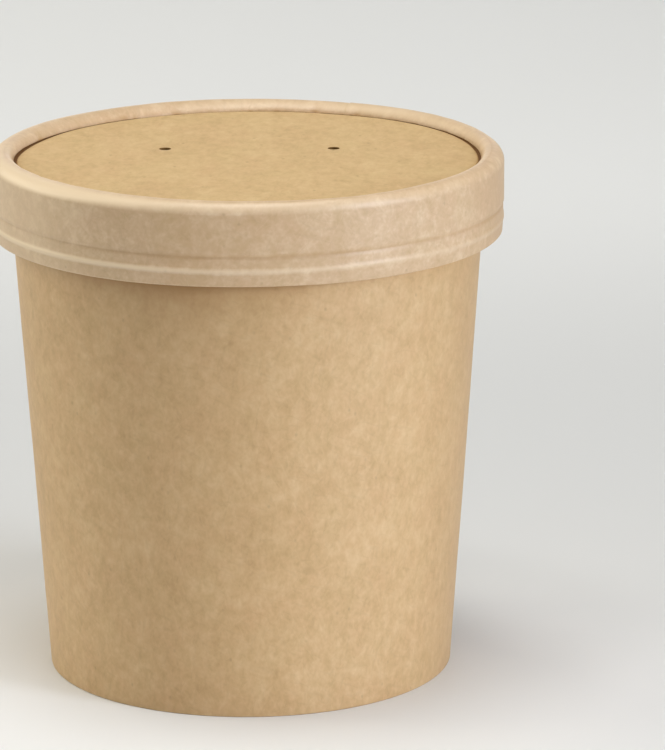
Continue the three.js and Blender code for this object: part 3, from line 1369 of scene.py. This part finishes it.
@dataclass
class LidDisc:
    """The lid's recessed disc, with its flange turned up inside the bead and its two vents.

    Attributes:
        face: the height of its upper face.
        board: its thickness.
        radius: its radius over the flange.
        turn_up: the rounding at the flange's foot.
        flange_top: the height of the flange.
        edge_start: the radius at which its edge starts to dip.
        edge_bend: how far outside that it bends down, and how deep it lies there.
        edge_foot: how far outside it has dipped fully.
        edge_drop: how far the edge dips.
        calm_radius: the radius inside which the disc doesn't follow the bead's strayings.
        columns: how many steps the full turn takes.
        rings: how many rings the flat part has.
        waves: the height, length and seed of the sheet's waves, broad and fine.
        dimple_depth: how deep the sheet is pressed in round each vent.
        dimple_radius: how wide.
        vents: the two vents.
    """

    face: float = 103.1 * MM
    board: float = 0.45 * MM
    radius: float = 48.2 * MM
    turn_up: float = 0.35 * MM
    flange_top: float = 103.8 * MM
    edge_start: float = 44.75 * MM
    edge_bend: tuple[float, float] = (0.75 * MM, 0.1 * MM)
    edge_foot: float = 1.1 * MM
    edge_drop: float = 0.4 * MM
    calm_radius: float = 38.0 * MM
    columns: int = 240
    rings: int = 76
    waves: tuple[Give, Give] = (Give(0.07 * MM, 17 * MM, 2.6), Give(0.012 * MM, 5 * MM, 8.1))
    dimple_depth: float = 0.12 * MM
    dimple_radius: float = 2.1 * MM
    vents: tuple[Vent, Vent] = field(default_factory=default_vents)

    def build(self) -> bpy.types.Object:
        """Models the disc as a thin sheet, punches it and gives it its thickness.

        Returns:
            The disc's object.
        """
        inner = self.radius - self.board
        trough = self.face - self.edge_drop
        corner = (inner - self.turn_up, trough + self.turn_up)
        bend = (self.edge_start + self.edge_bend[0], self.face - self.edge_bend[1])
        pen = Section().start(0.0, self.face, skin=1.0)
        pen.line(self.edge_start, self.face, self.rings, skin=1.0)
        # The edge's bend and trough are darkened with painted shade, deepest in the trough.
        pen.line(*bend, 2, skin=1.0, rub_and_painted_light=-0.04)
        pen.line(self.edge_start + self.edge_foot, trough, 2, rub_and_painted_light=-0.9)
        pen.line(corner[0], trough, 3, rub_and_painted_light=-1.0)
        pen.arc(corner, (self.turn_up, self.turn_up), -90, 0, 4)
        pen.line(inner, self.flange_top, 1)
        sheet = TurnedSheet(pen, self.columns)
        for vent in self.vents:
            bmesh.ops.delete(sheet.bm, geom=[vent.open_up(sheet, self.face)], context="FACES_ONLY")
        self._rumple(sheet)
        bmesh.ops.solidify(sheet.bm, geom=sheet.bm.faces[:], thickness=self.board)
        sheet.lay_flat_grain()
        return sheet.finish("disc_sheet")

    def _rumple(self, sheet: TurnedSheet) -> None:
        """Leaves the disc a little wavy, with a dimple round each vent.

        Args:
            sheet: the punched sheet.
        """
        for vert in sheet.bm.verts:
            reach = vert.co.xy.length
            if reach > self.calm_radius:
                share = min(1.0, (reach - self.calm_radius) / (self.edge_start - self.calm_radius))
                share *= max(0.0, min(1.0, (self.radius - 2 * self.board - reach) / MM))
                angle = angle_of(vert.co)
                stray = LIP_SWAY.at(angle) + GAP_SWAY.at(angle)
                vert.co -= share * share * stray * MM * direction_at(angle)
            if vert[sheet.skin] > 0:
                calm = min(1.0, (self.radius - vert.co.xy.length) / (6 * MM))
                vert.co.z -= calm * self._waviness(vert.co.xy) + self._dimples(vert.co.xy)

    def _waviness(self, place: Vector) -> float:
        """How far the sheet lies below its level at a place.

        Args:
            place: the place, seen from above.

        Returns:
            The depth.
        """
        depth = self.waves[0].depth
        for wave in self.waves:
            spot = Vector((place.x / wave.wave, place.y / wave.wave, wave.seed))
            depth += wave.depth * noise.noise(spot)
        return depth

    def _dimples(self, place: Vector) -> float:
        """How far the sheet is pressed in by its vents at a place.

        Args:
            place: the place, seen from above.

        Returns:
            The depth.
        """
        aways = [(place - vent.place).length / self.dimple_radius for vent in self.vents]
        return self.dimple_depth * sum(math.exp(-(away**2)) for away in aways)


# ---- Studio ---------------------------------------------------------------


@dataclass(frozen=True)
class Softbox:
    """A square soft light.

    Attributes:
        name: its name.
        turn: its angle round the box, in degrees anticlockwise from the front.
        lift: its angle above the table, in degrees.
        away: its distance from the middle of the box.
        size: the length of its sides.
        watts: its power.
        colour: its colour.
    """

    name: str
    turn: float
    lift: float
    away: float
    size: float
    watts: float
    colour: Shade = (1.0, 1.0, 1.0)

    def switch_on(self, target: Vector) -> None:
        """Hangs the light and aims it.

        Args:
            target: the point it looks at.
        """
        lamp = bpy.data.lights.new(self.name, "AREA")
        lamp.shape = "SQUARE"
        lamp.size = self.size
        lamp.energy = self.watts
        lamp.color = self.colour
        level = direction_at(math.radians(self.turn)) * math.cos(math.radians(self.lift))
        towards = level + Vector((0, 0, math.sin(math.radians(self.lift))))
        light = bpy.data.objects.new(self.name, lamp)
        light.location = target + towards * self.away
        light.rotation_euler = (-towards).to_track_quat("-Z", "Y").to_euler()
        bpy.context.collection.objects.link(light)


def studio_lights() -> list[Softbox]:
    """The lights of the studio: one overhead, one on the right, three on the left, two weak fills."""
    return [
        Softbox("top", -15, 84, 1.8, 0.9, 20.5, (1.03, 1.0, 0.94)),
        Softbox("front_top", 25, 60, 1.8, 0.9, 3.2),
        Softbox("left", -95, 38, 1.8, 0.6, 3.5, (1.05, 1.0, 0.82)),
        Softbox("left_back", -130, 28, 1.8, 0.9, 5.5, (1.04, 1.0, 0.86)),
        Softbox("left_low", -105, 14, 1.8, 0.9, 6.0, (1.05, 1.0, 0.82)),
        Softbox("right", 57, 12, 1.8, 0.5, 18.2, (0.95, 1.0, 1.12)),
        Softbox("back", 180, 10, 1.8, 0.9, 3.0),
    ]


@dataclass
class Studio:
    """A pale bowl-shaped set, so that it looks alike from all sides, with its lights.

    Attributes:
        floor_radius: the radius of the flat floor.
        bend: the radius of the bend up to the wall.
        wall_top: the height of the wall.
        ambient: how strong the room's own light is.
        paint: the paint's colour.
        cloud: how bright its dullest clouds are beside it.
        belt: how bright the painted shade behind the box is beside the plain paint.
        belt_front: from where to where, towards the back, the painted shade comes in.
        belt_back: where it is gone again, and where that starts.
        belt_clear: the distances from the axis within and beyond which it is clear or full; clear close
            round the foot, it leaves painted light over the box's cast shadows.
        target: the point that the lights look at.
        lights: the lights.
    """

    floor_radius: float = 3.0
    bend: float = 0.9
    wall_top: float = 2.6
    ambient: float = 0.04
    paint: Shade = (0.822, 0.836, 0.85)
    cloud: float = 0.97
    belt: float = 0.79
    belt_front: tuple[float, float] = (-0.06, 0.065)
    belt_back: tuple[float, float] = (0.5, 0.15)
    belt_clear: tuple[float, float] = (0.045, 0.09)
    target: Vector = field(default_factory=lambda: Vector((0, 0, 0.055)))
    lights: list[Softbox] = field(default_factory=studio_lights)

    def build(self) -> None:
        """Builds the set and switches the lights on."""
        pen = Section().start(0.0, 0.0)
        pen.line(self.floor_radius, 0.0, 12)
        pen.arc((self.floor_radius, self.bend), (self.bend, self.bend), -90, 0, 16)
        pen.line(self.floor_radius + self.bend, self.wall_top, 2)
        sweep = TurnedSheet(pen, 96)
        if sweep.bm.faces[0].normal.z < 0:
            bmesh.ops.reverse_faces(sweep.bm, faces=sweep.bm.faces[:])
        floor = sweep.finish("studio_sweep")
        floor.data.materials.append(self._paint())
        for light in self.lights:
            light.switch_on(self.target)
        self._dim_room()

    def _paint(self) -> bpy.types.Material:
        """The set's matt paint, with a faint unevenness, a broad painted shade behind the box, and
        painted light close round its foot where that shade is left out.

        Returns:
            The material.
        """
        material = bpy.data.materials.new("studio_paint")
        material.use_nodes = True
        tree = material.node_tree
        shader = tree.nodes["Principled BSDF"]
        place = add_node(tree, "ShaderNodeTexCoord", {}).outputs["Object"]
        cloudy = {"Vector": place, "Scale": 2.0, "Detail": 2.0}
        cloud = add_node(tree, "ShaderNodeTexNoise", cloudy).outputs[0]
        shaded = {0: cloud, 6: self._paint_at(self.cloud), 7: self._paint_at(1.0)}
        even = add_node(tree, "ShaderNodeMix", shaded, data_type="RGBA").outputs[2]
        back = add_node(tree, "ShaderNodeSeparateXYZ", {"Vector": place}).outputs["Y"]
        out = add_node(tree, "ShaderNodeVectorMath", {0: place}, operation="LENGTH").outputs["Value"]
        # Painted shade behind the box, left out close round its foot as painted light over the box's
        # cast shadows.
        share = 1.0
        for value, ends in ((back, self.belt_front), (back, self.belt_back), (out, self.belt_clear)):
            eased = {"Value": value, "From Min": ends[0], "From Max": ends[1]}
            step = add_node(tree, "ShaderNodeMapRange", eased, interpolation_type="SMOOTHERSTEP")
            both = {0: share, 1: step.outputs[0]}
            share = add_node(tree, "ShaderNodeMath", both, operation="MULTIPLY").outputs[0]
        belted = {0: share, 6: even, 7: self._paint_at(self.belt)}
        belt = add_node(tree, "ShaderNodeMix", belted, data_type="RGBA")
        tree.links.new(belt.outputs[2], shader.inputs["Base Color"])
        shader.inputs["Roughness"].default_value = 0.7
        return material

    def _paint_at(self, share: float) -> tuple[float, float, float, float]:
        """The paint's colour at a share of its full brightness."""
        red, green, blue = (share * part for part in self.paint)
        return red, green, blue, 1.0

    def _dim_room(self) -> None:
        """Gives the room its even, faint light from all round."""
        world = bpy.data.worlds.new("studio_room")
        world.use_nodes = True
        background = world.node_tree.nodes["Background"]
        background.inputs["Color"].default_value = (1.0, 1.0, 1.0, 1.0)
        background.inputs["Strength"].default_value = self.ambient
        bpy.context.scene.world = world


@dataclass
class PhotoCamera:
    """The camera at the photograph's viewing angle.

    Attributes:
        distance: from the point on the axis that it circles.
        pivot: the height of that point.
        lift: its angle above the table, in degrees.
        pan: how far it then turns to the right, which leaves the box left of the middle.
        tilt: how far it turns up.
        roll: how far it leans.
        lens: its focal length, on a 36 mm sensor along the picture's long side.
    """

    distance: float = 988.4 * MM
    pivot: float = 53.55 * MM
    lift: float = 14.92
    pan: float = 0.973
    tilt: float = 0.279
    roll: float = -0.462
    lens: float = 236.06

    def stand(self) -> None:
        """Sets the camera up and makes it the scene's own."""
        lift = math.radians(self.lift)
        back = Vector((0, -math.cos(lift), math.sin(lift)))
        turn = (-back).to_track_quat("-Z", "Y").to_matrix()
        turn @= Matrix.Rotation(math.radians(-self.pan), 3, "Y")
        turn @= Matrix.Rotation(math.radians(self.tilt), 3, "X")
        turn @= Matrix.Rotation(math.radians(self.roll), 3, "Z")
        lens = bpy.data.cameras.new("photo_camera")
        lens.lens = self.lens
        lens.sensor_width = 36.0
        lens.sensor_fit = "AUTO"
        lens.clip_start, lens.clip_end = 0.05, 20.0
        camera = bpy.data.objects.new("photo_camera", lens)
        camera.location = Vector((0, 0, self.pivot)) + back * self.distance
        camera.rotation_euler = turn.to_euler()
        bpy.context.collection.objects.link(camera)
        bpy.context.scene.camera = camera


# ---- Putting it together --------------------------------------------------


def main() -> None:
    """Builds the camera, the set and the four pieces of the box."""
    logging.basicConfig(level=logging.INFO, format="%(name)s: %(message)s")
    bpy.context.scene.view_settings.view_transform = "Standard"
    PhotoCamera().stand()
    Studio().build()
    effects = PaperEffects()
    place_piece(Cup().build(), Node.CUP, CUP_KRAFT.make(effects))
    place_piece(Base().build(), Node.BASE, BASE_KRAFT.make(effects))
    place_piece(LidBand().build(), Node.BAND, BAND_PAPER.make(effects))
    place_piece(LidDisc().build(), Node.DISC, DISC_KRAFT.make(effects))


if __name__ == "__main__":
    main()
